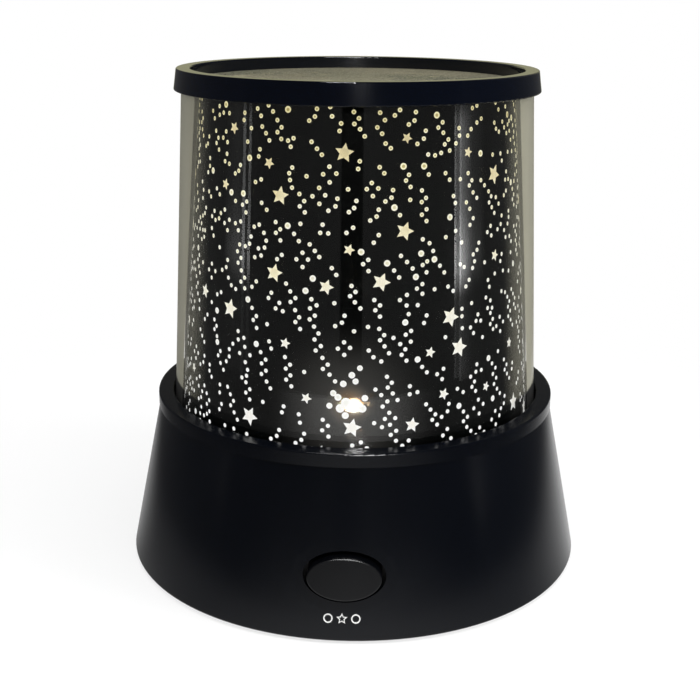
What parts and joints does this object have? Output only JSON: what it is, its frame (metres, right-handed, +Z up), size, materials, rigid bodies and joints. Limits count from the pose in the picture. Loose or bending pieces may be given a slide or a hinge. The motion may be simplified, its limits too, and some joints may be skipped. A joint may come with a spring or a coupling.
{
  "type": "star night light projector",
  "caption": "Table night light: black conical base with an oval push button and a clear lift-off cover round a film printed with stars and dots.",
  "frame": {"origin": "on the surface the lamp stands on, under the middle of the base", "axes": "+Z up along the lamp's axis, -Y out through the push button at the front"},
  "size_m": [0.1148, 0.1148, 0.1211],
  "materials": {
    "housing_black": "satin black moulded ABS",
    "screw_steel": "zinc-plated steel",
    "foot_rubber": "soft matt black rubber",
    "cell_jacket": "printed steel jacket, satin",
    "contact_nickel": "nickel plate",
    "switch_plastic": "dark nylon",
    "plunger_white": "white acetal",
    "board_laminate": "green glass-epoxy laminate",
    "chip_black": "moulded epoxy",
    "capacitor_sleeve": "dark blue sleeve",
    "resistor_coat": "tan lacquer",
    "led_lens": "clear epoxy lens",
    "holder_black": "matt black",
    "jack_black": "moulded black",
    "button_black": "satin black, fine grain",
    "cover_clear": "clear polished polystyrene",
    "film_print": "black printed film with clear dots and stars",
    "cap_gloss": "gloss black moulding",
    "window_clear": "clear disc with a fine satin face"
  },
  "bodies": {
    "base": {"base_housing": "housing_black", "bottom_plate": "housing_black", "plate_screws": "screw_steel", "foot_1": "foot_rubber", "foot_2": "foot_rubber", "foot_3": "foot_rubber", "foot_4": "foot_rubber", "battery_cell_1": "cell_jacket", "battery_cell_2": "cell_jacket", "battery_cell_3": "cell_jacket", "battery_contact_1": "contact_nickel", "battery_contact_2": "contact_nickel", "battery_contact_3": "contact_nickel", "battery_spring_1": "contact_nickel", "battery_spring_2": "contact_nickel", "battery_spring_3": "contact_nickel", "switch_body": "switch_plastic", "switch_pins": "contact_nickel", "switch_board": "board_laminate", "main_board": "board_laminate", "board_screws": "screw_steel", "control_chip": "chip_black", "capacitor_1": "capacitor_sleeve", "capacitor_2": "capacitor_sleeve", "resistors": "resistor_coat", "led_1": "led_lens", "led_2": "led_lens", "led_3": "led_lens", "led_4": "led_lens", "led_legs": "contact_nickel", "led_board": "board_laminate", "led_board_screws": "screw_steel", "led_holder": "holder_black", "dc_jack": "jack_black", "dc_jack_pin": "contact_nickel", "dc_jack_nut": "contact_nickel", "dc_jack_tags": "contact_nickel"},
    "button": {"button_cap": "button_black", "switch_plunger": "plunger_white"},
    "battery_door": {"battery_door": "housing_black"},
    "cover": {"clear_cover": "cover_clear", "star_film": "film_print", "film_ring": "housing_black", "cap_ring": "cap_gloss", "top_film": "film_print", "top_window": "window_clear"}
  },
  "joints": [
    {"name": "button_press", "type": "slide", "parent": "base", "child": "button", "axis": [0, 1, 0], "range_m": [0, 0.0016], "stiffness_N_per_m": 800},
    {"name": "cover_lift", "type": "slide", "parent": "base", "child": "cover", "axis": [0, 0, 1], "range_m": [0, 0.06]},
    {"name": "door_swing", "type": "hinge", "parent": "base", "child": "battery_door", "pos_m": [0, 0.0247, 0.001], "axis": [1, 0, 0], "range_deg": [0, 70]}
  ]
}
